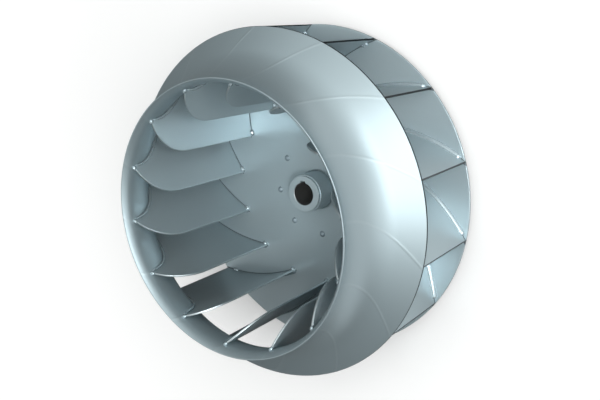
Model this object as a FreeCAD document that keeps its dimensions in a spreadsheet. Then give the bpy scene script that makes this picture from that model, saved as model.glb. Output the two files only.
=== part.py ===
import FreeCAD, Part
import os
import Sketcher
from FreeCAD import Placement, Rotation, Vector

# Backward-curved centrifugal fan wheel of painted sheet steel, for one inlet.
# The Z axis is the shaft axis and points to the inlet. Z = 0 is the rear end of the hub, on which
# the wheel rests when it lies on its back. The keyway is on the +Y side of the bore.
# Lengths are millimetres and angles are degrees.

sizes = {
    # Outline shared by the back plate, the shroud and the blade tips
    "wheelDiameter": 560,
    # Back plate
    "plateThickness": 4,
    "hubClearance": 0.1,
    # Inlet shroud, measured on its inner side, where the air runs
    "exitWidth": 147,
    "coneAngle": 30,
    "flareRadius": 84,
    "shroudWidth": 76.5,
    "lipRadius": 24,
    "lipAngle": 44,
    "shroudThickness": 2.5,
    # Blades: the chord of each blade lies at bladeOffset from the shaft axis
    "bladeCount": 14,
    "bladeThickness": 3,
    "bladeCurveRadius": 300,
    "bladeChord": 164.5,
    "bladeOffset": 147,
    "bladeEdgeDepth": 67.7,
    "bladeEdgeRadius": 70,
    "firstBladeTurn": 6.7,
    # Hub, from its rear end to its nose
    "boreDiameter": 38,
    "keyWidth": 10,
    "keyDepth": 41.3,
    "boreChamfer": 1,
    "tailDiameter": 70,
    "tailLength": 9,
    "flangeDiameter": 190,
    "flangeThickness": 10,
    "barrelDiameter": 66,
    "barrelReach": 38,
    "barrelChamfer": 1,
    "noseDiameter": 62,
    "noseLength": 4.5,
    # Rivets through the flange and the back plate
    "rivetCount": 8,
    "firstRivetTurn": 4.2,
    "rivetCircleDiameter": 160,
    "rivetDiameter": 6,
    "rivetClearance": 0.1,
    "rivetHeadDiameter": 11,
    "rivetHeadHeight": 3,
    "rivetClosingHeight": 2.5,
    # Welds
    "plateWeldLeg": 5.5,
    "plateWeldGap": 9,
    "tackLeg": 4,
    "tackLength": 5,
    "edgeTackInset": 5,
    "tipTackInset": 22,
    "shroudWeldLeg": 4,
    "shroudWeldGap": 9,
}

# A point closer than this to an axis of its sketch lies on it
on_axis = 1e-9

document = FreeCAD.newDocument("FanWheel")
sheet = document.addObject("Spreadsheet::Sheet", "Sizes")
for row, (alias, size) in enumerate(sizes.items(), start=1):
    sheet.set("A%d" % row, alias)
    sheet.set("B%d" % row, str(size))
    sheet.setAlias("B%d" % row, alias)
document.recompute()


def of_sheet(formula):
    """Formula with each alias written as a cell of the sheet."""
    words = sorted(sizes, key=len, reverse=True)
    for index, word in enumerate(words):
        formula = formula.replace(word, "<%d>" % index)
    for index, word in enumerate(words):
        formula = formula.replace("<%d>" % index, "Sizes." + word)
    return formula


def value(formula):
    """Number that a formula of the sheet's sizes gives."""
    result = sheet.evalExpression(of_sheet(formula))
    return float(getattr(result, "Value", result))


# Places that several pieces share, as formulas of the sizes
wheel_radius = "(wheelDiameter / 2)"
throat_radius = "(wheelDiameter / 2 - shroudWidth)"
plate_bottom = "(tailLength + flangeThickness)"
plate_top = "(tailLength + flangeThickness + plateThickness)"
barrel_hole_radius = "(barrelDiameter / 2 + hubClearance)"

# Shroud's inner side, with heights above the back plate: cone, flare arc, throat and lip arc
flare_end_radius = f"({throat_radius} + flareRadius * (1 - sin(coneAngle)))"
flare_end_height = f"(exitWidth + ({wheel_radius} - {flare_end_radius}) * tan(coneAngle))"
throat_height = f"({flare_end_height} + flareRadius * cos(coneAngle))"

# Blade plan: an arc through the two ends of the chord, bulging away from the shaft
tip_x = f"sqrt({wheel_radius} ^ 2 - bladeOffset ^ 2)"
edge_x = f"({tip_x} - bladeChord)"
curve_x = f"({tip_x} - bladeChord / 2)"
curve_y = "(bladeOffset - sqrt(bladeCurveRadius ^ 2 - (bladeChord / 2) ^ 2))"
half_angle = "(asin(bladeChord / 2 / bladeCurveRadius) / 1 deg)"
inner_face = "(bladeCurveRadius - bladeThickness)"
edge_height = f"({throat_height} - bladeEdgeDepth)"


def new_body(label, height="0", turn=None):
    body = document.addObject("PartDesign::Body", "Body_" + label)
    body.Label = label
    body.AllowCompound = True
    body.setExpression("Placement.Base.z", of_sheet(height))
    if turn is not None:
        body.Placement = Placement(Vector(0, 0, 0), Rotation(Vector(0, 0, 1), 1))
        body.setExpression("Placement.Rotation.Angle", of_sheet(turn))
    return body


def origin_part(body, role):
    return next(item for item in body.Origin.OriginFeatures if item.Role == role)


def bind(sketch, kind, places, formula):
    """Adds a constraint of a sketch whose value is a formula of the sizes."""
    index = sketch.addConstraint(Sketcher.Constraint(kind, *places, value(formula)))
    sketch.setExpression("Constraints[%d]" % index, of_sheet(formula))


def bind_point(sketch, edge, end, x_formula, y_formula):
    """Ties one point of a sketch to the sketch's origin."""
    for kind, axis, formula in (("DistanceX", -2, x_formula), ("DistanceY", -1, y_formula)):
        place = value(formula)
        if abs(place) < on_axis:
            sketch.addConstraint(Sketcher.Constraint("PointOnObject", edge, end, axis))
        elif place > 0:
            bind(sketch, kind, (-1, 1, edge, end), formula)
        else:
            bind(sketch, kind, (edge, end, -1, 1), f"-({formula})")


def new_sketch(body, role, name):
    sketch = body.newObject("Sketcher::SketchObject", name + "_" + body.Label)
    sketch.AttachmentSupport = [(origin_part(body, role), "")]
    sketch.MapMode = "FlatFace"
    return sketch


def outline_sketch(body, role, name, corners):
    """Closed outline. Each corner is (x, y, None) for a straight side to the next corner, or
    (x, y, (centre x, centre y), radius) for the shorter arc to it."""
    sketch = new_sketch(body, role, name)
    ends = []
    for index, corner in enumerate(corners):
        following = corners[(index + 1) % len(corners)]
        start = Vector(value(corner[0]), value(corner[1]), 0)
        end = Vector(value(following[0]), value(following[1]), 0)
        if corner[2] is None:
            sketch.addGeometry(Part.LineSegment(start, end))
            ends.append((1, 2))
            continue
        centre = Vector(value(corner[2][0]), value(corner[2][1]), 0)
        circle = Part.Circle(centre, Vector(0, 0, 1), value(corner[3]))
        left = (start - centre).cross(end - centre).z > 0
        first, last = (start, end) if left else (end, start)
        angles = (circle.parameter(first), circle.parameter(last))
        sketch.addGeometry(Part.ArcOfCircle(circle, *angles))
        bind(sketch, "Radius", (index,), corner[3])
        ends.append((1, 2) if left else (2, 1))
    for index, corner in enumerate(corners):
        end_before = (index - 1) % len(corners), ends[index - 1][1]
        start = (index, ends[index][0])
        sketch.addConstraint(Sketcher.Constraint("Coincident", *end_before, *start))
        bind_point(sketch, *start, corner[0], corner[1])
    return sketch


def circle_sketch(body, name, circles):
    """Full circles (x, y, radius) on the body's XY plane."""
    sketch = new_sketch(body, "XY_Plane", name)
    for index, (x, y, radius) in enumerate(circles):
        place = Vector(value(x), value(y), 0)
        sketch.addGeometry(Part.Circle(place, Vector(0, 0, 1), value(radius)))
        if value(x) == 0 and value(y) == 0:
            sketch.addConstraint(Sketcher.Constraint("Coincident", index, 3, -1, 1))
        else:
            bind_point(sketch, index, 3, x, y)
        bind(sketch, "Radius", (index,), radius)
    return sketch


def feature(body, kind, name, profile, **bound):
    item = body.newObject("PartDesign::" + kind, name + "_" + body.Label)
    item.Profile = profile
    for key, formula in bound.items():
        item.setExpression(key, of_sheet(formula))
    return item


def cut_through(body, name, profile):
    """Pocket that runs through the whole body on both sides of its sketch."""
    pocket = feature(body, "Pocket", name, profile)
    pocket.SideType = "Symmetric"
    pocket.Type = "Length"
    pocket.setExpression("Length", of_sheet("2 * wheelDiameter"))
    return pocket


def revolve(body, kind, name, profile):
    item = feature(body, kind, name, profile)
    item.ReferenceAxis = (profile, ["V_Axis"])
    item.Angle = 360
    return item


def repeat_round_axis(body, name, originals, count):
    """Copies features evenly round the shaft axis."""
    pattern = body.newObject("PartDesign::PolarPattern", name + "_" + body.Label)
    pattern.Originals = originals
    pattern.Axis = (origin_part(body, "Z_Axis"), [""])
    pattern.Angle = 360
    pattern.setExpression("Occurrences", of_sheet(count))
    body.Tip = pattern
    return pattern


def back_plate():
    """Flat disc with the hub's hole and the rivet holes."""
    body = new_body("back_plate", plate_bottom)
    disc = circle_sketch(body, "Disc", [("0", "0", wheel_radius), ("0", "0", barrel_hole_radius)])
    feature(body, "Pad", "Sheet", disc, Length="plateThickness")
    rivet_holes(body)


def rivet_holes(body):
    x = "rivetCircleDiameter / 2 * cos(firstRivetTurn)"
    y = "rivetCircleDiameter / 2 * sin(firstRivetTurn)"
    hole = circle_sketch(body, "RivetHole", [(x, y, "rivetDiameter / 2 + rivetClearance")])
    pocket = cut_through(body, "RivetCut", hole)
    repeat_round_axis(body, "RivetCuts", [pocket], "rivetCount")


def shroud_side(inset):
    """Corners of the shroud's side, from the rim to the lip, with heights above the back plate.
    The inset is measured from the inner side, outwards through the sheet."""
    flare = f"(flareRadius - {inset})"
    lip = f"(lipRadius - {inset})"
    flare_centre = (f"{throat_radius} + flareRadius", throat_height)
    lip_centre = (f"{throat_radius} + lipRadius", throat_height)
    rim = f"(exitWidth + {inset} / cos(coneAngle))"
    return [
        (wheel_radius, rim, None),
        (
            f"{throat_radius} + flareRadius - {flare} * sin(coneAngle)",
            f"{throat_height} - {flare} * cos(coneAngle)",
            flare_centre,
            flare,
        ),
        (f"{throat_radius} + {inset}", throat_height, lip_centre, lip),
        (
            f"{throat_radius} + lipRadius - {lip} * cos(lipAngle)",
            f"{throat_height} + {lip} * sin(lipAngle)",
            None,
        ),
    ]


def back_again(corners, last):
    """The same corners in the other order, each arc now leaving from its other end."""
    turned = []
    for index in range(len(corners) - 1, -1, -1):
        arc = corners[index - 1][2:] if index > 0 else (None,)
        turned.append(corners[index][:2] + tuple(arc))
    turned[-1] = turned[-1][:2] + (last,)
    return turned


def inlet_shroud():
    """One spun ring of constant thickness, from the rim over the flare and throat to the lip."""
    body = new_body("inlet_shroud", plate_top)
    inner = shroud_side("0")
    outer = back_again(shroud_side("shroudThickness"), None)
    section = outline_sketch(body, "XZ_Plane", "Section", inner + outer)
    revolve(body, "Revolution", "Spun", section)


def over_shroud(inset):
    """Closed section of all that lies outside the shroud's inner side, moved in by the inset."""
    flare = f"(flareRadius + {inset})"
    far = f"({wheel_radius} + 2 * flareRadius)"
    above = f"({throat_height} + 2 * lipRadius)"
    side = [
        (far, f"{throat_height} - {flare} * cos(coneAngle) - "
              f"({far} - {throat_radius} - flareRadius + {flare} * sin(coneAngle)) * tan(coneAngle)",
         None),
        (
            f"{throat_radius} + flareRadius - {flare} * sin(coneAngle)",
            f"{throat_height} - {flare} * cos(coneAngle)",
            (f"{throat_radius} + flareRadius", throat_height),
            flare,
        ),
        (f"{throat_radius} - {inset}", throat_height, None),
        (f"{throat_radius} - {inset}", above, None),
        (far, above, None),
    ]
    return side


def blade_band(body, name, inner_radius, outer_radius, start, sweep):
    """Plan of a strip that follows the blade's curve: radii and angles about the curve's centre,
    the angles counted from the leading edge towards the tip."""
    first = f"(90 + {half_angle} - {start})"
    last = f"(90 + {half_angle} - {start} - {sweep})"
    centre = (curve_x, curve_y)

    def spot(radius, angle):
        return f"{curve_x} + {radius} * cos({angle})", f"{curve_y} + {radius} * sin({angle})"

    return outline_sketch(
        body,
        "XY_Plane",
        name,
        [
            spot(outer_radius, first) + (centre, outer_radius),
            spot(outer_radius, last) + (None,),
            spot(inner_radius, last) + (centre, inner_radius),
            spot(inner_radius, first) + (None,),
        ],
    )


def blade_turn(number):
    return f"firstBladeTurn + 360 / bladeCount * {number}"


def blade(number):
    """Curved plate between the back plate and the shroud. Its leading edge rises parallel to the
    shaft and then bends outwards in an arc to the shroud's throat."""
    body = new_body("blade_%02d" % (number + 1), plate_top, blade_turn(number))
    whole = f"2 * {half_angle}"
    plan = blade_band(body, "Plan", inner_face, "bladeCurveRadius", "0", whole)
    feature(body, "Pad", "Plate", plan, Length=f"{throat_height} + lipRadius")
    arc_end_x = f"{edge_x} + bladeEdgeRadius"
    arc_end_height = f"{edge_height} + bladeEdgeRadius"
    above = f"{arc_end_height} + lipRadius"
    edge = outline_sketch(
        body,
        "XZ_Plane",
        "Edge",
        [
            (f"{edge_x} - lipRadius", edge_height, None),
            (edge_x, edge_height, (arc_end_x, edge_height), "bladeEdgeRadius"),
            (arc_end_x, arc_end_height, None),
            (wheel_radius, arc_end_height, None),
            (wheel_radius, above, None),
            (f"{edge_x} - lipRadius", above, None),
        ],
    )
    cut_through(body, "EdgeCut", edge)
    over = outline_sketch(body, "XZ_Plane", "Over", over_shroud("0"))
    revolve(body, "Groove", "ShroudCut", over)


def hub():
    """Turned hub: tail, flange, barrel and nose round one bore with a keyway."""
    body = new_body("hub")
    bore = "boreDiameter / 2"
    shoulder = f"({plate_top} + barrelReach)"
    nose_top = f"({shoulder} + noseLength)"
    section = outline_sketch(
        body,
        "XZ_Plane",
        "Section",
        [
            (bore, "boreChamfer", None),
            (f"{bore} + boreChamfer", "0", None),
            ("tailDiameter / 2", "0", None),
            ("tailDiameter / 2", "tailLength", None),
            ("flangeDiameter / 2", "tailLength", None),
            ("flangeDiameter / 2", plate_bottom, None),
            ("barrelDiameter / 2", plate_bottom, None),
            ("barrelDiameter / 2", f"{shoulder} - barrelChamfer", None),
            ("barrelDiameter / 2 - barrelChamfer", shoulder, None),
            ("noseDiameter / 2", shoulder, None),
            ("noseDiameter / 2", nose_top, None),
            (f"{bore} + boreChamfer", nose_top, None),
            (bore, f"{nose_top} - boreChamfer", None),
        ],
    )
    revolve(body, "Revolution", "Turned", section)
    key_top = f"keyDepth - {bore}"
    keyway = outline_sketch(
        body,
        "XY_Plane",
        "Keyway",
        [
            ("-keyWidth / 2", "0", None),
            ("keyWidth / 2", "0", None),
            ("keyWidth / 2", key_top, None),
            ("-keyWidth / 2", key_top, None),
        ],
    )
    cut_through(body, "KeywayCut", keyway)
    rivet_holes(body)


def hub_rivets():
    """Eight rivets: low domed heads on the inlet side, flat closing heads under the flange."""
    body = new_body("hub_rivets", "tailLength", "firstRivetTurn")
    axis_x = "rivetCircleDiameter / 2"
    shank = f"{axis_x} + rivetDiameter / 2"
    head = f"{axis_x} + rivetHeadDiameter / 2"
    grip = "flangeThickness + plateThickness"
    dome = "((rivetHeadDiameter ^ 2 / 4 + rivetHeadHeight ^ 2) / 2 / rivetHeadHeight)"
    section = outline_sketch(
        body,
        "XZ_Plane",
        "Section",
        [
            (axis_x, "-rivetClosingHeight", None),
            (shank, "-rivetClosingHeight", None),
            (head, "0", None),
            (shank, "0", None),
            (shank, grip, None),
            (head, grip, (axis_x, f"{grip} + rivetHeadHeight - {dome}"), dome),
            (axis_x, f"{grip} + rivetHeadHeight", None),
        ],
    )
    rivet = feature(body, "Revolution", "Rivet", section)
    rivet.ReferenceAxis = (section, ["Edge7"])
    rivet.Angle = 360
    repeat_round_axis(body, "Rivets", [rivet], "rivetCount")


def end_of_bead(body, name, corners, angle):
    """Section of a bead on a plane through the centre of the blade's curve, where the sketch's
    X counts from that centre and the angle is the one of blade_band."""
    section = outline_sketch(body, "XZ_Plane", name, corners)
    section.AttachmentOffset = Placement(Vector(0, 0, 0), Rotation(Vector(0, 1, 0), 1))
    section.setExpression("AttachmentOffset.Base.x", of_sheet(curve_x))
    section.setExpression("AttachmentOffset.Base.z", of_sheet(f"-{curve_y}"))
    turn = f"90 + {half_angle} - {angle}"
    section.setExpression("AttachmentOffset.Rotation.Angle", of_sheet(turn))
    return section


def foot_bead(body, name, face, reach, start, sweep):
    """Fillet weld in the corner between the back plate and one face of the blade, rounded off at
    both ends. A negative reach lies on the side of the curve's centre."""
    corners = [(face, "0", None), (f"{face} + {reach}", "0", None), (face, f"abs({reach})", None)]
    near = end_of_bead(body, name + "Start", corners, start)
    far = end_of_bead(body, name + "End", corners, f"({start} + {sweep})")
    run = feature(body, "Revolution", name, far)
    run.ReferenceAxis = (far, ["V_Axis"])
    run.setExpression("Angle", of_sheet(sweep))
    outside = value(reach) > 0
    ends = []
    for section, at_start in ((near, True), (far, False)):
        end = feature(body, "Revolution", section.Name + "Round", section)
        end.ReferenceAxis = (section, ["Edge3"])
        end.Angle = 90
        end.Reversed = outside == at_start
        ends.append(end)
    return [run] + ends


def along_blade(length):
    """Angle about the centre of the blade's curve that spans a length of the blade."""
    return f"({length}) / bladeCurveRadius * 180 / pi"


def plate_welds():
    """Bead along the outer foot of each blade, and two short tacks at its inner foot."""
    body = new_body("plate_welds", plate_top, blade_turn(0))
    start = f"({along_blade('plateWeldLeg')})"
    sweep = f"(2 * {half_angle} - {along_blade('2 * plateWeldLeg + plateWeldGap')})"
    beads = foot_bead(body, "Bead", "bladeCurveRadius", "plateWeldLeg", start, sweep)
    tack = f"({along_blade('tackLength')})"
    start = f"({along_blade('edgeTackInset')})"
    beads += foot_bead(body, "EdgeTack", inner_face, "-tackLeg", start, tack)
    start = f"(2 * {half_angle} - {along_blade('tipTackInset')})"
    beads += foot_bead(body, "TipTack", inner_face, "-tackLeg", start, tack)
    repeat_round_axis(body, "Beads", beads, "bladeCount")


def shroud_welds():
    """Bead between the inner side of each blade and the shroud, from the throat to the rim."""
    body = new_body("shroud_welds", plate_top, blade_turn(0))
    centre_distance = f"sqrt({curve_x} ^ 2 + {curve_y} ^ 2)"
    to_axis = f"atan2(0 - {curve_y}; 0 - {curve_x}) / 1 deg"
    from_axis = (
        f"acos(({centre_distance} ^ 2 + {inner_face} ^ 2 - {throat_radius} ^ 2)"
        f" / 2 / {centre_distance} / {inner_face}) / 1 deg"
    )
    start = f"(90 + {half_angle} - {to_axis} + {from_axis})"
    sweep = f"(2 * {half_angle} - {start} - {along_blade('shroudWeldGap')})"
    free_face = f"({inner_face} - shroudWeldLeg)"
    strip = blade_band(body, "Strip", free_face, inner_face, start, sweep)
    bead = feature(body, "Pad", "Bead", strip, Length=throat_height)
    repeat_round_axis(body, "Beads", [bead], "bladeCount")
    over = outline_sketch(body, "XZ_Plane", "Over", over_shroud("0"))
    revolve(body, "Groove", "ShroudCut", over)
    side = over_shroud("shroudWeldLeg")
    under = side[:3] + [("0", throat_height, None), ("0", "-exitWidth", None)]
    under.append((side[0][0], "-exitWidth", None))
    low = outline_sketch(body, "XZ_Plane", "Under", under)
    revolve(body, "Groove", "UnderCut", low)


back_plate()
inlet_shroud()
for number in range(sizes["bladeCount"]):
    blade(number)
hub()
hub_rivets()
plate_welds()
shroud_welds()
document.recompute()

for item in document.Objects:
    if "Invalid" in item.State or "Error" in item.State:
        raise RuntimeError("%s failed: %s" % (item.Name, item.State))

os.makedirs("parts", exist_ok=True)
for body in document.findObjects("PartDesign::Body"):
    shape = body.Shape
    if shape.isNull() or not shape.isValid():
        raise RuntimeError("%s has no valid shape" % body.Label)
    shape.exportStep("parts/%s.step" % body.Label)
    print(body.Label, "solids", len(shape.Solids), "volume", round(shape.Volume / 1000, 2), "cm3")
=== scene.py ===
from types import SimpleNamespace
import bpy
import numpy as np
from mathutils import Matrix, Vector


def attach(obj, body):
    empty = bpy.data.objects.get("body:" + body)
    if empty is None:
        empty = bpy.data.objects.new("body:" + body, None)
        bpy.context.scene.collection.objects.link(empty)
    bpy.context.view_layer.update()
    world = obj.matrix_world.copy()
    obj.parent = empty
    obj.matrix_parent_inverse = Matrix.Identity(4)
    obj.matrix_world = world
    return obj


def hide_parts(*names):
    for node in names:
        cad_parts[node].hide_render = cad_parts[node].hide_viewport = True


# Welded centrifugal fan wheel in satin blue-grey enamel, lying on its back.
# Lengths in the dictionaries are millimetres and angles are degrees where no comment says
# otherwise, and the meshes are metres.

print("stage: frame")
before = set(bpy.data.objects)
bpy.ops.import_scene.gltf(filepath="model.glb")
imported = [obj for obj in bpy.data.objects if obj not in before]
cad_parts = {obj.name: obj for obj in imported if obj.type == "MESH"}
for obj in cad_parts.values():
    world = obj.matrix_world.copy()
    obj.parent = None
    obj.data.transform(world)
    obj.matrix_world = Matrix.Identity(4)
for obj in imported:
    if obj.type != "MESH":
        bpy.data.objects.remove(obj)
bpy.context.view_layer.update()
mm = 0.001

wheel = {
    "radius": 280.0,
    "plateBottom": 19.0,     # heights from the plane that the wheel rests on
    "plateTop": 23.0,
    "blades": 14,
    "firstTurn": 6.7,
}
blades = {
    "sheet": 3.0,
    "curve": 300.0,          # radius of the outer face
    "chord": 164.5,          # from leading edge to tip
    "offset": 147.0,         # of the chord from the shaft axis
    "edgeStraight": 171.97,  # height of the straight part of the leading edge
    "edgeRadius": 70.0,      # arc from there to the throat
    "intoShroud": 1.2,       # depth of the top edge in the shroud's sheet
    "intoPlate": 1.0,
    "edgeEase": 0.35, "easeSegments": 2,
    "easeAngle": 50.0,       # corners sharper than this are eased
    "wave": 0.25,            # height of the sheet's waves
    "waveShift": 5,          # blades after which the waves repeat
    "rows": 41, "columns": 57,
    "edgeSamples": 4001, "topSamples": 2001,
}
# a blade's arc in plan: the radius of its middle, half its angle, its centre and its two ends
middleRadius = blades["curve"] - blades["sheet"] / 2
halfAngle = np.degrees(np.arcsin(blades["chord"] / 2 / blades["curve"]))
centreX = np.sqrt(wheel["radius"] ** 2 - blades["offset"] ** 2) - blades["chord"] / 2
centreY = blades["offset"] - blades["curve"] * np.cos(np.radians(halfAngle))
leadX = centreX - middleRadius * np.sin(np.radians(halfAngle))
tipX = centreX + middleRadius * np.sin(np.radians(halfAngle))
leadY = centreY + middleRadius * np.cos(np.radians(halfAngle))


def arcPoints(centre, radius, first, last, count):
    # points on a circle: centre + radius * (cos a, sin a), a from first to last
    a = np.radians(np.linspace(first, last, count))
    return np.stack([centre[0] + radius * np.cos(a), centre[1] + radius * np.sin(a)], 1)


def roundedCorner(before, corner, after, radius, steps=5):
    # a corner of a section, eased from p to q, which lie radius away from it on its two sides:
    # (1 - t)^2 p + 2 t (1 - t) corner + t^2 q
    before, corner, after = (np.array(p, float) for p in (before, corner, after))
    p = corner + (before - corner) / np.linalg.norm(before - corner) * radius
    q = corner + (after - corner) / np.linalg.norm(after - corner) * radius
    t = np.linspace(0, 1, steps)[:, None]
    return (1 - t) ** 2 * p + 2 * t * (1 - t) * corner + t ** 2 * q


def easedSection(corners):
    # closed section from (x, y, edge radius) corners, sharp where the radius is 0
    pieces = []
    for k, (x, y, radius) in enumerate(corners):
        if radius:
            after = corners[(k + 1) % len(corners)][:2]
            pieces.append(roundedCorner(corners[k - 1][:2], (x, y), after, radius))
        else:
            pieces.append(np.array([[x, y]], float))
    return np.concatenate(pieces)


def denser(section, longest):
    # the same closed section, every side p + (q - p) t split evenly into pieces up to the longest
    pieces = []
    for p, q in zip(section, np.roll(section, -1, 0)):
        t = np.arange(max(1, int(np.ceil(np.linalg.norm(q - p) / longest))))
        pieces.append(p + (q - p) * (t / len(t))[:, None])
    return np.concatenate(pieces)


def turned(points, degrees):
    # points turned about the shaft axis: (x cos a - y sin a, x sin a + y cos a, z)
    c, s = np.cos(np.radians(degrees)), np.sin(np.radians(degrees))
    x, y, z = points[..., 0], points[..., 1], points[..., 2]
    return np.stack([x * c - y * s, x * s + y * c, z], -1)


def spun(section, angles):
    # section (r, z) turned about the shaft axis: (r cos a, r sin a, z), row by row
    a = np.radians(angles)[None, :]
    r, z = section[:, :1], section[:, 1:]
    return np.stack([r * np.cos(a), r * np.sin(a), z + 0 * a], -1)


def gridFaces(rows, columns, closeRows=False, closeColumns=False):
    # quads (i, j), (i, j + 1), (i + 1, j + 1), (i + 1, j) of a grid whose point (i, j) is number
    # i * columns + j, each way closed or open
    i = np.arange(rows if closeRows else rows - 1)
    j = np.arange(columns if closeColumns else columns - 1)
    i, j = np.meshgrid(i, j, indexing="ij")
    below = (i + 1) % rows
    right = (j + 1) % columns
    quads = [i * columns + j, i * columns + right, below * columns + right, below * columns + j]
    return np.stack([q.ravel() for q in quads], 1)


def outward(points, faces):
    # faces turned round when the closed shape's volume, the sum of p . (q x r) / 6, is negative
    total = 0.0
    for i, j, k in ((0, 1, 2), (0, 2, 3)):
        p, q, r = points[faces[:, i]], points[faces[:, j]], points[faces[:, k]]
        total += np.einsum("ij,ij->", p, np.cross(q, r))
    return faces if total > 0 else faces[:, ::-1]


def capped(points, first, last):
    # a tube of rings, closed by a fan of triangles to a point at each end, all turned outward
    rows, columns = points.shape[:2]
    sides = gridFaces(rows, columns, False, True)
    points = np.concatenate([points.reshape(-1, 3), [first, last]])
    j = np.arange(columns)
    after = (j + 1) % columns
    start, lastRow = rows * columns, (rows - 1) * columns
    fanA = np.stack([np.full(columns, start), after, j, j], 1)
    fanB = np.stack([np.full(columns, start + 1), lastRow + j, lastRow + after, lastRow + after], 1)
    quads = outward(points - points.mean(0), np.concatenate([sides, fanA, fanB]))
    # a fan's last two corners are one point: three are kept, from whichever side they now start
    kept = 0 if np.array_equal(quads[0], sides[0]) else 1
    return points, quads[:len(sides)], quads[len(sides):, kept:kept + 3]


def repeated(parts, count, firstTurn):
    # parts of (points, quads, triangles), joined, turned by firstTurn + 360 k / count for each k
    points, quads, triangles, start = [], [], [], 0
    for k in range(count):
        for partPoints, partQuads, partTriangles in parts:
            points.append(turned(partPoints, firstTurn + 360 / count * k))
            quads += (partQuads + start).tolist()
            triangles += (partTriangles + start).tolist()
            start += len(partPoints)
    return np.concatenate(points), quads + triangles


def meshObject(name, points, faces, material, closed=True, sharp=None,
               edgeMaterial=None, edgeFaces=None):
    # smooth mesh that rides on the part's one body, sharp at corners over an angle if one is given
    points = points.reshape(-1, 3)
    if closed:
        faces = outward(points, faces).tolist()
    mesh = bpy.data.meshes.new(name)
    mesh.from_pydata((points * mm).tolist(), [], faces)
    mesh.polygons.foreach_set("use_smooth", np.ones(len(mesh.polygons), bool))
    mesh.update()
    if sharp is not None:
        mesh.set_sharp_from_angle(angle=np.radians(sharp))
    mesh.materials.append(material)
    if edgeMaterial is not None:
        mesh.materials.append(edgeMaterial)
    if edgeFaces is not None:
        mesh.polygons.foreach_set("material_index", edgeFaces.astype(np.int32))
    item = bpy.data.objects.new(name, mesh)
    bpy.context.scene.collection.objects.link(item)
    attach(item, "root")
    return item


def linear(hexColour):
    # sRGB hex to linear: c / 12.92 below 0.04045, else ((c + 0.055) / 1.055) ^ 2.4
    c = np.array([int(hexColour[i:i + 2], 16) / 255 for i in (1, 3, 5)])
    low, high = c / 12.92, ((c + 0.055) / 1.055) ** 2.4
    return tuple(np.where(c <= 0.04045, low, high)) + (1.0,)


def addNode(tree, kind, settings=None, links=None):
    # one node: settings by property or socket, and links by socket, each from a socket or from a
    # node's first output
    node = tree.nodes.new("ShaderNode" + kind)
    for key, setting in (settings or {}).items():
        if isinstance(key, int) or key in node.inputs:
            node.inputs[key].default_value = setting
        else:
            setattr(node, key, setting)
    for key, source in (links or {}).items():
        tree.links.new(getattr(source, "outputs", (source,))[0], node.inputs[key])
    return node


def newMaterial(name):
    # empty Principled material, with the place on the piece as its Object coordinates
    material = bpy.data.materials.new(name)
    material.use_nodes = True
    tree = material.node_tree
    tree.nodes.clear()
    output = addNode(tree, "OutputMaterial")
    shader = addNode(tree, "BsdfPrincipled")
    tree.links.new(shader.outputs[0], output.inputs["Surface"])
    place = addNode(tree, "TexCoord").outputs["Object"]
    return SimpleNamespace(material=material, tree=tree, output=output, shader=shader, place=place)


enamel = {
    "colour": "#a5b4b9",       # grey enamel with fine aluminium pigment, sprayed wet on steel
    "thinColour": "#9fafb5",   # where the coat is thinner
    "pigment": 0.58,           # share of the light that the aluminium flakes throw back
    "roughness": 0.37,
    "roughnessSpread": 0.03,
    "mottle": 110.0,           # size of the clouds that the spray gun leaves
    "peel": 5.0,               # orange peel, drawn coarser than real so that it shows
    "peelHeight": 0.006,
    "refraction": 1.5,         # index of the binder
}
# changes to that coat on the pieces where it lies otherwise
edgeCoat = {"colour": "#b6bebf", "pigment": 0.85}
beadCoat = {"roughness": 0.20, "roughnessSpread": 0.02}
# rivet heads: darker colours than the plate's, as painted shade
headCoat = {"colour": "#84939a", "thinColour": "#7d8c93", "roughness": 0.55, "pigment": 0.45}
jointLines = {
    "width": 2.8,              # half width of the line that a blade's weld draws through the sheet
    "height": 0.16,
    "light": "#c3cdd0",        # a paler colour along the ridge
    "share": 0.12,
}
paintedFootShade = {
    "inner": 1.8,              # from the middle of the blade's sheet to where the shade fades
    "outer": 3.6,
    "dark": "#22282a",         # painted shade on the unwelded side of a blade's foot
    "share": 0.8,
}
tipsPaintedShadeAndThinCoat = {
    "band": 1.1,               # of radius beside a blade's tip, where shade is painted
    "dark": "#262c2f",         # the painted shade
    "share": 0.85,
    "edge": "#2b3235",         # the cut edge itself: a thin coat, darkened further as painted shade
    "edgeFrom": 265.0,         # from the axis, beyond which a cut edge is dark
}
bareSteel = {
    "colour": "#8d8f8f",       # reamed bore, oiled
    "metallic": 0.9,
    "to": 19.6,                # from the axis
    "fade": 0.5,
}


def enamelCoat(name, changes=None):
    # sprayed enamel: even colour, faint clouds, a soft gloss broken by fine orange peel
    look = dict(enamel, **(changes or {}))
    coat = newMaterial(name)
    tree, shader = coat.tree, coat.shader
    clouds = addNode(tree, "TexNoise", {"Scale": 1 / (look["mottle"] * mm), "Detail": 1.0},
                     {"Vector": coat.place})
    colour = addNode(tree, "Mix", {"data_type": "RGBA", 6: linear(look["colour"]),
                                   7: linear(look["thinColour"])}, {"Factor": clouds})
    coat.colour = colour.outputs[2]
    tree.links.new(coat.colour, shader.inputs["Base Color"])
    spread = addNode(tree, "MapRange", {"To Min": look["roughness"] - look["roughnessSpread"],
                                        "To Max": look["roughness"] + look["roughnessSpread"]},
                     {"Value": clouds})
    tree.links.new(spread.outputs[0], shader.inputs["Roughness"])
    peel = addNode(tree, "TexNoise", {"Scale": 1 / (look["peel"] * mm), "Detail": 1.0},
                   {"Vector": coat.place})
    coat.bump = addNode(tree, "Bump", {"Strength": 1.0, "Distance": look["peelHeight"] * mm},
                        {"Height": peel})
    tree.links.new(coat.bump.outputs[0], shader.inputs["Normal"])
    shader.inputs["Metallic"].default_value = look["pigment"]
    shader.inputs["IOR"].default_value = look["refraction"]
    return coat


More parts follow.
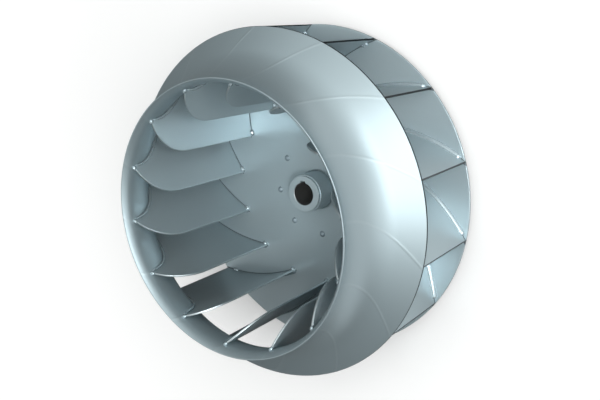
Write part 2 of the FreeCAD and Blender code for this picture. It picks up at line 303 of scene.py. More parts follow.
def tint(coat, hexColour, where, share=1.0):
    # colour + (other colour - colour) * share * where, which runs from 0 to 1
    amount = addNode(coat.tree, "Math", {"operation": "MULTIPLY", 1: share}, {0: where})
    mix = addNode(coat.tree, "Mix", {"data_type": "RGBA", 7: linear(hexColour)},
                  {"Factor": amount, 6: coat.colour})
    coat.tree.links.new(mix.outputs[2], coat.shader.inputs["Base Color"])


def radiusOf(coat):
    # distance from the shaft axis in m, the length of (x, y, 0)
    flat = addNode(coat.tree, "VectorMath", {"operation": "MULTIPLY", 1: (1, 1, 0)},
                   {0: coat.place})
    return addNode(coat.tree, "VectorMath", {"operation": "LENGTH"}, {0: flat}).outputs["Value"]


def jointDistance(coat):
    # distance to the nearest blade's arc, and radius r, both in m. The arc's centre is d from the
    # axis and its radius R, so at r the arc lies acos((r^2 + d^2 - R^2) / (2 r d)) round from its
    # centre. The rest of the polar angle, wrapped into one blade's sector, is the way from there to
    # the point, whose distance from the centre is sqrt(r^2 + d^2 - 2 r d cos(both)).
    tree = coat.tree
    away = float(np.hypot(centreX, centreY) * mm)
    reach = float(middleRadius * mm)
    first = float(np.radians(wheel["firstTurn"]) + np.arctan2(centreY, centreX))
    sector = float(np.pi / wheel["blades"])
    r = radiusOf(coat)
    parts = addNode(tree, "SeparateXYZ", {}, {"Vector": coat.place})
    angle = addNode(tree, "Math", {"operation": "ARCTAN2"},
                    {0: parts.outputs["Y"], 1: parts.outputs["X"]})
    square = addNode(tree, "Math", {"operation": "MULTIPLY"}, {0: r, 1: r})
    span = addNode(tree, "Math", {"operation": "MULTIPLY", 1: 2 * away}, {0: r})
    excess = addNode(tree, "Math", {"operation": "ADD", 1: away ** 2 - reach ** 2}, {0: square})
    cosine = addNode(tree, "Math", {"operation": "DIVIDE"}, {0: excess, 1: span})
    arc = addNode(tree, "Math", {"operation": "ARCCOSINE"}, {0: cosine})
    past = addNode(tree, "Math", {"operation": "SUBTRACT"}, {0: angle, 1: arc})
    past = addNode(tree, "Math", {"operation": "SUBTRACT", 1: first}, {0: past})
    past = addNode(tree, "Math", {"operation": "WRAP", 1: sector, 2: -sector}, {0: past})
    both = addNode(tree, "Math", {"operation": "ADD"}, {0: past, 1: arc})
    bothCosine = addNode(tree, "Math", {"operation": "COSINE"}, {0: both})
    product = addNode(tree, "Math", {"operation": "MULTIPLY"}, {0: span, 1: bothCosine})
    squares = addNode(tree, "Math", {"operation": "ADD", 1: away ** 2}, {0: square})
    squared = addNode(tree, "Math", {"operation": "SUBTRACT"}, {0: squares, 1: product})
    fromCentre = addNode(tree, "Math", {"operation": "SQRT"}, {0: squared})
    off = addNode(tree, "Math", {"operation": "SUBTRACT", 1: reach}, {0: fromCentre})
    return addNode(tree, "Math", {"operation": "ABSOLUTE"}, {0: off}), r


print("stage: materials")
# shroud: enamel sprayed on spun sheet, with a faint pale ridge over every blade's weld
shroudCoat = enamelCoat("sprayedEnamelOnSpunShroud")
ridge = addNode(shroudCoat.tree, "MapRange",
                {"interpolation_type": "SMOOTHSTEP", "From Max": jointLines["width"] * mm,
                 "To Min": 1.0, "To Max": 0.0}, {"Value": jointDistance(shroudCoat)[0]})
tint(shroudCoat, jointLines["light"], ridge, jointLines["share"])
raised = addNode(shroudCoat.tree, "Bump", {"Strength": 1.0, "Distance": jointLines["height"] * mm},
                 {"Height": ridge, "Normal": shroudCoat.bump})
shroudCoat.tree.links.new(raised.outputs[0], shroudCoat.shader.inputs["Normal"])
# blades: the same on rolled sheet, with a band of painted shade beside the cut edge at the tip
bladeCoat = enamelCoat("sprayedEnamelOnSheetSteel")
tint(bladeCoat, tipsPaintedShadeAndThinCoat["dark"],
     addNode(bladeCoat.tree, "Math", {"operation": "GREATER_THAN",
                                      1: (wheel["radius"] - tipsPaintedShadeAndThinCoat["band"]) * mm},
             {0: radiusOf(bladeCoat)}), tipsPaintedShadeAndThinCoat["share"])
# back plate: the same on flat sheet, with painted shade in the corner along each blade's foot
plateCoat = enamelCoat("sprayedEnamelOnFlatPlate")
distance, radius = jointDistance(plateCoat)
shade = addNode(plateCoat.tree, "MapRange",
                {"interpolation_type": "SMOOTHSTEP", "From Min": paintedFootShade["inner"] * mm,
                 "From Max": paintedFootShade["outer"] * mm, "To Min": 1.0, "To Max": 0.0},
                {"Value": distance})
pastLead = addNode(plateCoat.tree, "Math", {"operation": "GREATER_THAN",
                                            1: float(np.hypot(leadX, leadY) * mm)}, {0: radius})
shade = addNode(plateCoat.tree, "Math", {"operation": "MULTIPLY"}, {0: shade, 1: pastLead})
tint(plateCoat, paintedFootShade["dark"], shade, paintedFootShade["share"])
# sheared edges: a lighter, glossier coat on the leading edges; at the rims a thin coat, darkened
# further as painted shade
shearedCoat = enamelCoat("enamelOnShearedEdge", edgeCoat)
tint(shearedCoat, tipsPaintedShadeAndThinCoat["edge"],
     addNode(shearedCoat.tree, "Math", {"operation": "GREATER_THAN", 1: tipsPaintedShadeAndThinCoat["edgeFrom"] * mm},
             {0: radiusOf(shearedCoat)}))
# weld beads: a thicker, wetter coat that gives a small hard highlight
weldCoat = enamelCoat("sprayedEnamelOnWeldBead", beadCoat)
# rivet heads: a dry, duller coat, made a little darker than the plate round them as painted shade
rivetCoat = enamelCoat("sprayedEnamelOnRivetHead", headCoat)
# hub: enamel on turned steel, the reamed bore left bare and grey
hubCoat = enamelCoat("sprayedEnamelOnTurnedSteel")
bare = addNode(hubCoat.tree, "MapRange",
               {"From Min": (bareSteel["to"] - bareSteel["fade"]) * mm,
                "From Max": (bareSteel["to"] + bareSteel["fade"]) * mm,
                "To Min": 1.0, "To Max": 0.0}, {"Value": radiusOf(hubCoat)})
tint(hubCoat, bareSteel["colour"], bare)
metal = addNode(hubCoat.tree, "MapRange", {"To Min": enamel["pigment"],
                                           "To Max": bareSteel["metallic"]}, {"Value": bare})
hubCoat.tree.links.new(metal.outputs[0], hubCoat.shader.inputs["Metallic"])


print("stage: shroud")
shroud = {
    "throat": 203.5,          # inner radius
    "exitWidth": 147.0,       # clear width at the rim
    "cone": 30.0,
    "flare": 84.0,            # radius of the flare, on the air's side
    "lip": 24.0,              # radius of the turned-out lip, on the air's side
    "lipAngle": 44.0,
    "sheet": 2.5,
    "rimEase": 0.8,
    "rimBand": 0.5,           # of radius inside the rim, coated as a cut edge, thin and darkened as painted shade
    "coneSteps": 12, "flareSteps": 34, "lipSteps": 12, "edgeSteps": 9,
    "around": 720,
}
flareReach = shroud["throat"] + shroud["flare"]      # from the axis to the flare's centre
coneAngle = np.radians(shroud["cone"])
coneRun = wheel["radius"] - shroud["throat"] - shroud["flare"] * (1 - np.sin(coneAngle))
throatHeight = (shroud["exitWidth"] + coneRun * np.tan(coneAngle)
                + shroud["flare"] * np.cos(coneAngle))


def shroudSide(inset):
    # one side as (r, height above the plate), moved into the sheet by inset: a straight cone from
    # the rim, then the flare's circle to the throat and the lip's circle away from it
    rim = [wheel["radius"], shroud["exitWidth"] + inset / np.cos(coneAngle)]
    flare = arcPoints((flareReach, throatHeight), shroud["flare"] - inset,
                      270 - shroud["cone"], 180, shroud["flareSteps"])
    lip = arcPoints((shroud["throat"] + shroud["lip"], throatHeight), shroud["lip"] - inset,
                    180, 180 - shroud["lipAngle"], shroud["lipSteps"])
    cone = rim + (flare[0] - rim) * np.linspace(0, 1, shroud["coneSteps"])[:-1, None]
    return np.concatenate([cone, flare, lip[1:]])


def shroudHeightAt(r, inset):
    # height of the shroud's side, moved into its sheet by inset: the flare's circle, then the cone
    reach = shroud["flare"] - inset
    arc = throatHeight - np.sqrt(np.maximum(reach ** 2 - (flareReach - r) ** 2, 0))
    rimHeight = shroud["exitWidth"] + inset / np.cos(coneAngle)
    line = rimHeight + (wheel["radius"] - r) * np.tan(coneAngle)
    return np.where(r < flareReach - reach * np.sin(coneAngle), arc, line)


innerSide = shroudSide(0.0)
outerSide = shroudSide(shroud["sheet"])[::-1]
# rounded edge of the lip: half a circle whose diameter is the sheet
lipMiddle = (innerSide[-1] + outerSide[0]) / 2
lipAcross = (innerSide[-1] - outerSide[0]) / 2
lipAlong = np.array([lipAcross[1], -lipAcross[0]])
lipAlong = lipAlong * np.sign(lipAlong[1])
bend = np.radians(np.linspace(0, 180, shroud["edgeSteps"]))[1:-1, None]
lipEdge = lipMiddle + lipAcross * np.cos(bend) + lipAlong * np.sin(bend)
rimEdge = roundedCorner(outerSide[-2], outerSide[-1], innerSide[0], shroud["rimEase"])
rimFoot = roundedCorner(outerSide[-1], innerSide[0], innerSide[1], shroud["rimEase"])
shroudSection = np.concatenate([innerSide[1:], lipEdge, outerSide[:-1], rimEdge, rimFoot])
shroudSection[:, 1] += wheel["plateTop"]
around = np.linspace(0, 360, shroud["around"], endpoint=False)
# the cut edge at the rim: rows of the section that lie on the rim's radius
atRim = shroudSection[:, 0] > wheel["radius"] - shroud["rimBand"]
shroudItem = meshObject("spunInletShroud", spun(shroudSection, around),
                        gridFaces(len(shroudSection), len(around), True, True),
                        shroudCoat.material, edgeMaterial=shearedCoat.material,
                        edgeFaces=np.repeat(atRim, len(around)))
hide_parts("inlet_shroud")

print("stage: blades")


def bladePlan(x):
    # y on the middle of the blade's sheet: centreY + sqrt(middleRadius^2 - (x - centreX)^2)
    return centreY + np.sqrt(middleRadius ** 2 - (x - centreX) ** 2)


def alongPath(t, x, z):
    # points at the shares t of a path's length, straight between its given points
    run = np.concatenate([[0], np.cumsum(np.hypot(np.diff(x), np.diff(z)))])
    return np.stack([np.interp(t, run / run[-1], x), np.interp(t, run / run[-1], z)], 1)


u = np.linspace(0, 1, blades["columns"])
v = np.linspace(0, 1, blades["rows"])
# the leading edge leaves its straight part and follows the arc until it meets the throat
arcCentreX = leadX + blades["edgeRadius"]
arcX = np.linspace(leadX, arcCentreX, blades["edgeSamples"])
arcZ = np.sqrt(np.maximum(blades["edgeRadius"] ** 2 - (arcX - arcCentreX) ** 2, 0))
arcZ += blades["edgeStraight"]
reached = np.argmax(np.hypot(arcX, bladePlan(arcX)) > shroud["throat"] + blades["intoShroud"] / 2)
arcX, arcZ = arcX[:reached + 1], arcZ[:reached + 1]
left = alongPath(v, np.concatenate([[leadX], arcX]), np.concatenate([[-blades["intoPlate"]], arcZ]))
topX = np.linspace(arcX[-1], tipX, blades["topSamples"])
topZ = shroudHeightAt(np.hypot(topX, bladePlan(topX)), blades["intoShroud"])
topZ[0] = arcZ[-1]
top = alongPath(u, topX, topZ)
bottom = np.stack([leadX + (tipX - leadX) * u, np.full_like(u, -blades["intoPlate"])], 1)
right = np.stack([np.full_like(v, tipX),
                  -blades["intoPlate"] + (topZ[-1] + blades["intoPlate"]) * v], 1)
# Coons patch between the four edges: ruled one way + ruled the other - the corners' bilinear patch
u, v = u[None, :, None], v[:, None, None]
patch = ((1 - v) * bottom[None] + v * top[None] + (1 - u) * left[:, None] + u * right[:, None]
         - (1 - u) * (1 - v) * bottom[0] - u * (1 - v) * bottom[-1]
         - (1 - u) * v * top[0] - u * v * top[-1])
swing = np.arcsin((patch[..., 0] - centreX) / middleRadius)
bladeFaces = gridFaces(blades["rows"], blades["columns"])
behindShroud = []
for k in range(wheel["blades"]):
    # waves of the rolled sheet: wave * sin(pi v) * sin(2 pi (u + k / waveShift)), none at the welds
    wave = np.sin(np.pi * v[..., 0]) * np.sin(2 * np.pi * (u[..., 0] + k / blades["waveShift"]))
    reach = middleRadius + blades["wave"] * wave
    points = np.stack([centreX + reach * np.sin(swing), centreY + reach * np.cos(swing),
                       patch[..., 1] + wheel["plateTop"]], -1)
    points = turned(points, wheel["firstTurn"] + 360 / wheel["blades"] * k)
    blade = meshObject("curvedBlade%02d" % (k + 1), points, bladeFaces.tolist(), bladeCoat.material,
                       closed=False, edgeMaterial=shearedCoat.material)
    thick = blade.modifiers.new("thickness", "SOLIDIFY")
    thick.thickness = blades["sheet"] * mm
    thick.offset = 0
    thick.material_offset_rim = 1
    ease = blade.modifiers.new("easedEdges", "BEVEL")
    ease.width = blades["edgeEase"] * mm
    ease.segments = blades["easeSegments"]
    ease.limit_method = "ANGLE"
    ease.angle_limit = np.radians(blades["easeAngle"])
    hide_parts("blade_%02d" % (k + 1))
    behindShroud.append(blade)

print("stage: welds")
welds = {
    "plateLeg": 5.5,
    "plateEndGap": 9.0,       # between the bead's end and the blade's tip
    "shroudLeg": 4.0,
    "shroudEndGap": 9.0,
    "shroudEaseIn": 4.0,      # legs over which the shroud's bead grows from the throat
    "cornerTack": (4.6, 3.1, 3.1),   # half lengths of the tack round the corner at the throat
    "tackBack": 3.0,          # its distance down the leading edge from the corner
    "tipTackLeg": 4.0,
    "tipTack": (26.0, 13.0),  # its start and end, before the blade's tip
    "edgeTackLeg": 5.0,       # fuller one at the leading edge
    "edgeTack": 12.0,         # its length
    "ripple": 0.12,
    "ripplePitch": 4.0,
    "sink": 1.0,              # depth of the bead's root in the sheets
    "point": 0.04,            # of the full size, at a bead's ends
    "fromThroat": 0.02,       # where the shroud's bead starts, clear of the flare's upright end
    "samples": 1500,          # along the shroud's bead, before its points are spaced evenly
    "step": 1.0,              # spacing of a bead's rings
    "fewest": 9,              # rings of a short bead
    "roundSteps": 9,
    "tackAround": 14,
    "tackPole": 12,           # left open round the tack's poles
    "tackSlope": 40,          # samples of the leading edge that give the tack's direction
}


def bead(path, sideways, upwards, leg, easeIn=1.0):
    # quarter-round section (leg cos t, leg sin t) swept along a path in the corner of two sheets;
    # its size is sqrt(1 - (1 - distance from the end / leg)^2), easeIn times longer at the start
    run = np.concatenate([[0], np.cumsum(np.linalg.norm(np.diff(path, axis=0), axis=1))])
    fromEnd = np.minimum(run / easeIn, run[-1] - run)
    size = np.sqrt(np.clip(1 - np.clip(1 - fromEnd / leg, 0, 1) ** 2, welds["point"] ** 2, 1))
    size = size * (1 + welds["ripple"] / leg * np.cos(2 * np.pi * run / welds["ripplePitch"]))
    t = np.radians(np.linspace(0, 90, welds["roundSteps"]))
    sink = welds["sink"] / leg
    section = np.concatenate([np.stack([np.cos(t), np.sin(t)], 1),
                              [(-sink, 1), (-sink, -sink), (1, -sink)]])
    scaled = section[None] * (leg * size)[:, None, None]
    points = (path[:, None] + scaled[..., :1] * sideways[:, None]
              + scaled[..., 1:] * upwards[:, None])
    return capped(points, points[0].mean(0), points[-1].mean(0))


def alongFace(radius, degrees):
    # plan of a line on a face of the blade: centre + radius * (sin a, cos a), a from its middle
    a = np.radians(degrees)
    radial = np.stack([np.sin(a), np.cos(a), 0 * a], 1)
    return np.array([centreX, centreY, 0.0]) + radius * radial, radial


def degreesOf(length):
    # angle of a length along the blade's arc: length / radius
    return np.degrees(length / blades["curve"])


def footBead(face, side, leg, first, last):
    # bead on the plate by one face of the blade, side 1 away from the curve's centre, -1 towards it
    rings = max(welds["fewest"], int((last - first) / degreesOf(welds["step"])))
    degrees = np.linspace(first, last, rings)
    path, radial = alongFace(face, degrees)
    path[:, 2] = wheel["plateTop"]
    upwards = np.zeros_like(path)
    upwards[:, 2] = 1
    return bead(path, side * radial, upwards, leg)


def shroudBead():
    # bead on the shroud along the blade's inner face, from the throat to the rim
    last = halfAngle - degreesOf(welds["shroudEndGap"])
    path, radial = alongFace(innerFace, np.linspace(-halfAngle, last, welds["samples"]))
    r = np.hypot(path[:, 0], path[:, 1])
    keep = r > shroud["throat"] + welds["fromThroat"]
    path, radial, r = path[keep], radial[keep], r[keep]
    path[:, 2] = shroudHeightAt(r, 0.0) + wheel["plateTop"]
    run = np.concatenate([[0], np.cumsum(np.linalg.norm(np.diff(path, axis=0), axis=1))])
    at = np.linspace(0, run[-1], int(run[-1] / welds["step"]))
    path = np.stack([np.interp(at, run, path[:, i]) for i in range(3)], 1)
    radial = np.stack([np.interp(at, run, radial[:, i]) for i in range(3)], 1)
    # the shroud's normal, towards the air: from the slope of its side over r
    r = np.hypot(path[:, 0], path[:, 1])
    slope = np.gradient(path[:, 2], at) / np.gradient(r, at)
    normal = np.stack([slope * path[:, 0] / r, slope * path[:, 1] / r, -np.ones_like(r)], 1)
    normal /= np.linalg.norm(normal, axis=1)[:, None]
    return bead(path, -radial, normal, welds["shroudLeg"], welds["shroudEaseIn"])


def cornerTack():
    # ellipsoid centre + cos t * a + sin t * (cos s * b + sin s * c) over the leading edge's corner
    before = -welds["tackSlope"]
    along = np.array([arcX[-1] - arcX[before], 0.0, arcZ[-1] - arcZ[before]])
    along /= np.linalg.norm(along)
    centre = np.array([arcX[-1], bladePlan(arcX[-1]), arcZ[-1] + wheel["plateTop"]])
    centre = centre - along * welds["tackBack"]
    across = np.array([0.0, 1.0, 0.0])
    axes = (along, np.cross(along, across), across)
    a, b, c = (half * axis for half, axis in zip(welds["cornerTack"], axes))
    t = np.linspace(welds["tackPole"], 180 - welds["tackPole"], welds["roundSteps"])
    s = np.linspace(0, 360, welds["tackAround"], endpoint=False)
    t, s = np.radians(t)[:, None, None], np.radians(s)[None, :, None]
    points = centre + np.cos(t) * a + np.sin(t) * (np.cos(s) * b + np.sin(s) * c)
    return capped(points, centre + a, centre - a)


innerFace = blades["curve"] - blades["sheet"]
tipTackFirst, tipTackLast = (halfAngle - degreesOf(length) for length in welds["tipTack"])
plateBeads = [
    footBead(blades["curve"], 1, welds["plateLeg"], -halfAngle,
             halfAngle - degreesOf(welds["plateEndGap"])),
    footBead(innerFace, -1, welds["edgeTackLeg"], -halfAngle,
             -halfAngle + degreesOf(welds["edgeTack"])),
    footBead(innerFace, -1, welds["tipTackLeg"], tipTackFirst, tipTackLast),
]
for name, parts, node in (("plateWelds", plateBeads, "plate_welds"),
                          ("shroudWelds", [shroudBead(), cornerTack()], "shroud_welds")):
    points, faces = repeated(parts, wheel["blades"], wheel["firstTurn"])
    weldItem = meshObject(name, points, faces, weldCoat.material, closed=False)
    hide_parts(node)
    behindShroud.append(weldItem)

print("stage: back plate")
plate = {
    "hole": 33.1,
    "ease": 0.8,
    "step": 4.0,             # spacing of the mesh
    "around": 540,
    "pull": 0.35,            # height by which each weld pulls the sheet
    "pullWidth": 9.0,
}
plateSection = denser(easedSection([
    (plate["hole"], wheel["plateBottom"], 0),
    (wheel["radius"], wheel["plateBottom"], plate["ease"]),
    (wheel["radius"], wheel["plateTop"], plate["ease"]),
    (plate["hole"], wheel["plateTop"], 0),
]), plate["step"])
platePoints = spun(plateSection, np.linspace(0, 360, plate["around"], endpoint=False))
# the sheet rises towards each blade's foot: pull * exp(-(distance to its arc / pullWidth)^2)
for k in range(wheel["blades"]):
    local = turned(platePoints, -wheel["firstTurn"] - 360 / wheel["blades"] * k)
    dx, dy = local[..., 0] - centreX, local[..., 1] - centreY
    beyond = np.maximum(np.abs(np.degrees(np.arctan2(dx, dy))) - halfAngle, 0)
    away = np.hypot(np.hypot(dx, dy) - middleRadius, beyond * np.radians(middleRadius))
    platePoints[..., 2] += plate["pull"] * np.exp(-(away / plate["pullWidth"]) ** 2)
plateItem = meshObject("flatBackPlate", platePoints,
                       gridFaces(len(plateSection), plate["around"], True, True),
                       plateCoat.material)
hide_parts("back_plate")

print("stage: hub and rivets")
hub = {
    # radii, and heights from the hub's rear end
    "bore": 19.0, "chamfer": 1.0, "tail": 35.0, "tailTop": 9.0, "flange": 95.0,
    "barrel": 33.0, "shoulder": 61.0, "nose": 31.0, "top": 65.5,
    "ease": 0.7, "shoulderEase": 1.0,
    "keyHalf": 5.0, "keyTop": 22.3,    # half the keyway's width, and its floor from the axis
    "keySine": 0.5,          # of the angle about the axis above which a column may be cut by it
    "step": 6.0, "around": 216,
    "sharp": 40,
}
hubSection = denser(easedSection([
    (hub["bore"], hub["chamfer"], 0), (hub["bore"] + hub["chamfer"], 0, 0),
    (hub["tail"], 0, hub["ease"]), (hub["tail"], hub["tailTop"], 0),
    (hub["flange"], hub["tailTop"], hub["ease"]),
    (hub["flange"], wheel["plateBottom"], hub["ease"]), (hub["barrel"], wheel["plateBottom"], 0),
    (hub["barrel"], hub["shoulder"], hub["shoulderEase"]),
    (hub["nose"], hub["shoulder"], 0), (hub["nose"], hub["top"], hub["ease"]),
    (hub["bore"] + hub["chamfer"], hub["top"], 0), (hub["bore"], hub["top"] - hub["chamfer"], 0),
]), hub["step"])
# columns at the keyway's corners: where its sides leave the bore and the chamfer, and its far end
keyCorner = np.hypot(hub["keyHalf"], hub["keyTop"])
cornerAngles = [np.degrees(np.arccos(hub["keyHalf"] / reach))
                for reach in (hub["bore"], hub["bore"] + hub["chamfer"], keyCorner)]
hubAngles = np.unique(np.concatenate([
    np.linspace(0, 360, hub["around"], endpoint=False),
    cornerAngles, [180 - angle for angle in cornerAngles]]).round(6))
cosA, sinA = np.cos(np.radians(hubAngles)), np.sin(np.radians(hubAngles))
# distance from the axis to the keyway's far side: min(keyTop / sin a, keyHalf / |cos a|), and 0
# away from it; the division is kept off 0
tiny = 1e-6
nearKey = sinA > hub["keySine"]
keyReach = np.where(nearKey, np.minimum(hub["keyTop"] / np.maximum(sinA, tiny),
                                        hub["keyHalf"] / np.maximum(np.abs(cosA), tiny)), 0)
hubRadius = np.maximum(hubSection[:, :1], keyReach[None])
hubPoints = np.stack([hubRadius * cosA, hubRadius * sinA, hubSection[:, 1:] + 0 * hubRadius], -1)
hubItem = meshObject("turnedHub", hubPoints, gridFaces(len(hubSection), len(hubAngles), True, True),
                     hubCoat.material, sharp=hub["sharp"])
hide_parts("hub")

rivet = {
    "count": 8, "circle": 80.0, "firstTurn": 4.2,
    "head": 5.5, "height": 3.0, "closing": 2.5, "shank": 3.0,
    "taper": (0.4, 0.5),     # inward and down, at the closed end's widest corner
    "pole": 0.02,            # radius at which the dome and the closed end stop
    "domeSteps": 12, "around": 40,
    "sharp": 50,
}
domeRadius = (rivet["head"] ** 2 + rivet["height"] ** 2) / 2 / rivet["height"]
domeCentre = wheel["plateTop"] + rivet["height"] - domeRadius
domeHalf = np.degrees(np.arcsin(rivet["head"] / domeRadius))
dome = arcPoints((0, domeCentre), domeRadius, 90 - domeHalf, 90, rivet["domeSteps"])
dome[-1, 0] = rivet["pole"]
rivetFoot = hub["tailTop"] - rivet["closing"]
rivetSection = np.concatenate([
    [(rivet["pole"], rivetFoot), (rivet["shank"], rivetFoot),
     (rivet["head"] - rivet["taper"][0], hub["tailTop"] - rivet["taper"][1]),
     (rivet["head"], hub["tailTop"]), (rivet["shank"], hub["tailTop"]),
     (rivet["shank"], wheel["plateTop"])], dome])
rivetPoints = spun(rivetSection, np.linspace(0, 360, rivet["around"], endpoint=False))
rivetPoints = rivetPoints.reshape(-1, 3)
rivetQuads = outward(rivetPoints, gridFaces(len(rivetSection), rivet["around"], True, True))
rivetPoints = rivetPoints + [rivet["circle"], 0, 0]
points, faces = repeated([(rivetPoints, rivetQuads, np.zeros((0, 3), int))],
                         rivet["count"], rivet["firstTurn"])
rivetItem = meshObject("domedRivets", points, faces, rivetCoat.material,
                       closed=False, sharp=rivet["sharp"])
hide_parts("hub_rivets")
behindShroud += [plateItem, hubItem, rivetItem]

print("stage: camera, light and floor")
camera = {
    # axes and place in the wheel's frame, from circles and edges measured in the photograph
    "turn": 4.5,                                # of the measured frame about Z
    "place": (735.0, 202.7, 1079.4),
    "right": (0.8124, -0.1198, -0.5707),
    "up": (0.0, 0.9787, -0.2054),
    "back": (0.5831, 0.1669, 0.7951),
    "lens": 44.9, "sensor": 36.0,
}
turn = Matrix.Rotation(np.radians(camera["turn"]), 4, "Z")
cameraAxes = Matrix([camera["right"], camera["up"], camera["back"]]).transposed().to_4x4()
cameraData = bpy.data.cameras.new("photoCamera")
cameraData.lens = camera["lens"]
cameraData.sensor_width = camera["sensor"]
cameraItem = bpy.data.objects.new("photoCamera", cameraData)
cameraItem.matrix_world = turn @ Matrix.Translation(Vector(camera["place"]) * mm) @ cameraAxes
bpy.context.scene.collection.objects.link(cameraItem)
bpy.context.scene.camera = cameraItem

# lengths from here on are metres
softboxes = [
    # name, direction from the wheel, distance, width, height, power in W
    ("keySoftbox", (0.60, 0.14, 0.76), 2.4, 1.2, 2.1, 27.0),
    ("rightFill", (0.90, -0.22, 0.45), 2.6, 1.4, 1.6, 2.5),
    ("sideSoftbox", (-1.0, -0.15, 0.7), 2.6, 1.7, 1.8, 7.0),
]
softboxAim = Vector((0, 0, 0.15))    # inside the wheel, above its back plate
for name, direction, distance, width, height, power in softboxes:
    data = bpy.data.lights.new(name, "AREA")
    data.shape = "RECTANGLE"
    data.size, data.size_y = width, height
    data.energy = power
    lamp = bpy.data.objects.new(name, data)
    # the lamp's back looks away from the wheel and its tall side follows the picture's vertical
    back = (turn @ Vector(direction)).normalized()
    side = (turn @ Vector((0, 1, 0))).cross(back).normalized()
    lampAxes = Matrix([side, back.cross(side), back]).transposed().to_4x4()
    lamp.matrix_world = Matrix.Translation(softboxAim + back * distance) @ lampAxes
    bpy.context.scene.collection.objects.link(lamp)

spots = [
    # name, direction from its aim, distance, aim, cone in degrees, power in W
    # through the wheel's eye on to the back plate and the blades' inner faces
    ("eyeSpot", (0.62, -0.04, 0.78), 2.0, (0.02, 0.06, 0.06), 12.5, 185.0),
    # from the right on to the outer part of the back plate and the blades' outer faces
    ("outerSpot", (0.85, 0.08, 0.50), 2.0, (0.25, 0.04, 0.05), 15.0, 160.0),
]
spotLook = {"blend": 0.5, "radius": 0.3}
# both are flagged off the shroud: they light only the pieces behind it
flagged = bpy.data.collections.new("behindTheShroud")
for item in behindShroud:
    flagged.objects.link(item)
for name, direction, distance, aim, cone, power in spots:
    data = bpy.data.lights.new(name, "SPOT")
    data.energy = power
    data.spot_size = np.radians(cone)
    data.spot_blend = spotLook["blend"]
    data.shadow_soft_size = spotLook["radius"]
    lamp = bpy.data.objects.new(name, data)
    back = (turn @ Vector(direction)).normalized()
    lamp.location = turn @ Vector(aim) + back * distance
    lamp.rotation_euler = back.to_track_quat("Z", "Y").to_euler()
    bpy.context.scene.collection.objects.link(lamp)
    lamp.light_linking.receiver_collection = flagged

studio = {
    "colour": "#e9ebea",
    "bright": (0.50, 0.10, 0.87),    # direction of the bright side
    "light": 1.6,                    # strength there
    "brightFrom": -0.1, "brightFull": 0.95,    # cosines from it between which the light grows
    "high": (0.50, 0.85, 0.0),       # the picture shows the wheel upright: dark away from here
    "highFrom": -0.7, "highFull": 0.1,
    "mirrorShare": 0.12,             # of the white surroundings that the satin coat shows
    "backdropTop": (0.02, 0.12),     # height, as a sine, over which the mirrored backdrop ends
}


def seenDirectly(tree):
    # 1 for camera rays, and a share for the rays by which metal and glass show the background
    ray = addNode(tree, "LightPath")
    mirror = addNode(tree, "Math", {"operation": "MAXIMUM"},
                     {0: ray.outputs["Is Glossy Ray"], 1: ray.outputs["Is Transmission Ray"]})
    mirror = addNode(tree, "Math", {"operation": "MULTIPLY", 1: studio["mirrorShare"]}, {0: mirror})
    return ray.outputs["Is Camera Ray"], mirror


world = bpy.data.worlds.new("softStudio")
world.use_nodes = True
bpy.context.scene.world = world
worldTree = world.node_tree
worldTree.nodes.clear()
lookWay = addNode(worldTree, "TexCoord").outputs["Generated"]
brightSide = tuple((turn @ Vector(studio["bright"])).normalized())
highSide = tuple((turn @ Vector(studio["high"])).normalized())
facing = addNode(worldTree, "VectorMath", {"operation": "DOT_PRODUCT", 1: brightSide}, {0: lookWay})
front = addNode(worldTree, "MapRange",
                {"interpolation_type": "SMOOTHSTEP", "From Min": studio["brightFrom"],
                 "From Max": studio["brightFull"], "To Max": studio["light"]},
                {"Value": facing.outputs["Value"]})
rising = addNode(worldTree, "VectorMath", {"operation": "DOT_PRODUCT", 1: highSide}, {0: lookWay})
above = addNode(worldTree, "MapRange",
                {"interpolation_type": "SMOOTHSTEP", "From Min": studio["highFrom"],
                 "From Max": studio["highFull"]}, {"Value": rising.outputs["Value"]})
strength = addNode(worldTree, "Math", {"operation": "MULTIPLY"}, {0: front, 1: above})
worldLight = addNode(worldTree, "Background", {"Color": linear(studio["colour"])},
                     {"Strength": strength})
worldWhite = addNode(worldTree, "Background", {"Color": (1, 1, 1, 1), "Strength": 1.0})
# a white backdrop round the wheel: the camera sees it everywhere, a mirror up to its top edge
cameraRay, mirrorRay = seenDirectly(worldTree)
lookHeight = addNode(worldTree, "SeparateXYZ", {}, {"Vector": lookWay}).outputs["Z"]
backdrop = addNode(worldTree, "MapRange",
                   {"interpolation_type": "SMOOTHSTEP", "From Min": studio["backdropTop"][0],
                    "From Max": studio["backdropTop"][1], "To Min": 1.0, "To Max": 0.0},
                   {"Value": lookHeight})
mirrored = addNode(worldTree, "Math", {"operation": "MULTIPLY"}, {0: mirrorRay, 1: backdrop})
seen = addNode(worldTree, "Math", {"operation": "MAXIMUM"}, {0: cameraRay, 1: mirrored})
worldMix = addNode(worldTree, "MixShader", {}, {0: seen, 1: worldLight, 2: worldWhite})
addNode(worldTree, "OutputWorld", {}, {"Surface": worldMix})

floorLook = {
    "reach": 8.0, "roughness": 0.9,
    "paper": 0.85,           # white paper, as the camera and the wheel's gloss see it
    "bounce": 0.07,          # what it throws back at the wheel's dull light
    "glow": 0.15,            # lifts the lit paper to the picture's white, not the wheel's shadow
    "cardFrom": 0.15,        # to the right of the axis, where a white card begins for the gloss
    "cardFull": 0.35,
    "card": 6.0,             # its brightness, in shares of what the gloss shows of the paper
    "ground": 0.3,           # the same to the left of it
    "shadeTo": 0.45,         # from the axis, to where the paper shows its full shadow
    "whiteFrom": 1.1,        # beyond here it is plain white
}
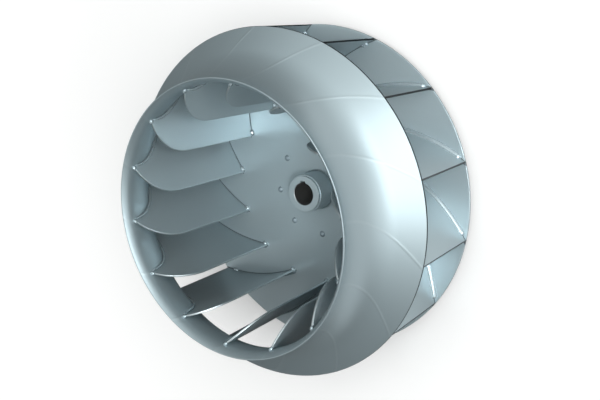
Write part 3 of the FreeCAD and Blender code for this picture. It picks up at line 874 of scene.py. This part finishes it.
# floor: matt white paper that keeps the wheel's soft shadow
paper = newMaterial("paleFloor")
paper.shader.inputs["Roughness"].default_value = floorLook["roughness"]
paper.shader.inputs["Specular IOR Level"].default_value = 0.0
floorTree = paper.tree
cameraRay, mirrorRay = seenDirectly(floorTree)
across = addNode(floorTree, "SeparateXYZ", {}, {"Vector": paper.place}).outputs["X"]
card = addNode(floorTree, "MapRange",
               {"interpolation_type": "SMOOTHSTEP", "From Min": floorLook["cardFrom"],
                "From Max": floorLook["cardFull"], "To Min": floorLook["ground"],
                "To Max": floorLook["card"]}, {"Value": across})
mirrored = addNode(floorTree, "Math", {"operation": "MULTIPLY"}, {0: mirrorRay, 1: card})
seen = addNode(floorTree, "Math", {"operation": "MAXIMUM"}, {0: cameraRay, 1: mirrored})
far = addNode(floorTree, "MapRange",
              {"interpolation_type": "SMOOTHSTEP", "From Min": floorLook["shadeTo"],
               "From Max": floorLook["whiteFrom"]}, {"Value": radiusOf(paper)})
near = addNode(floorTree, "Math", {"operation": "SUBTRACT", 0: 1.0}, {1: far})
lit = addNode(floorTree, "Math", {"operation": "MULTIPLY"}, {0: seen, 1: near})
colour = addNode(floorTree, "MapRange",
                 {"To Min": floorLook["bounce"], "To Max": floorLook["paper"]}, {"Value": lit})
floorTree.links.new(colour.outputs[0], paper.shader.inputs["Base Color"])
lift = addNode(floorTree, "MapRange", {"To Min": floorLook["glow"]}, {"Value": far})
seenLift = addNode(floorTree, "Math", {"operation": "MULTIPLY"}, {0: seen, 1: lift})
glow = addNode(floorTree, "Emission", {"Color": (1, 1, 1, 1)}, {"Strength": seenLift})
paperAndGlow = addNode(floorTree, "AddShader", {}, {0: paper.shader, 1: glow})
floorTree.links.new(paperAndGlow.outputs[0], paper.output.inputs["Surface"])
floorMesh = bpy.data.meshes.new("floor")
side = floorLook["reach"]
floorMesh.from_pydata([(-side, -side, 0), (side, -side, 0), (side, side, 0), (-side, side, 0)],
                      [], [(0, 1, 2, 3)])
floorMesh.materials.append(paper.material)
floor = bpy.data.objects.new("floor", floorMesh)
bpy.context.scene.collection.objects.link(floor)

view = bpy.context.scene.view_settings
view.view_transform = "Standard"

print("stage: finish")
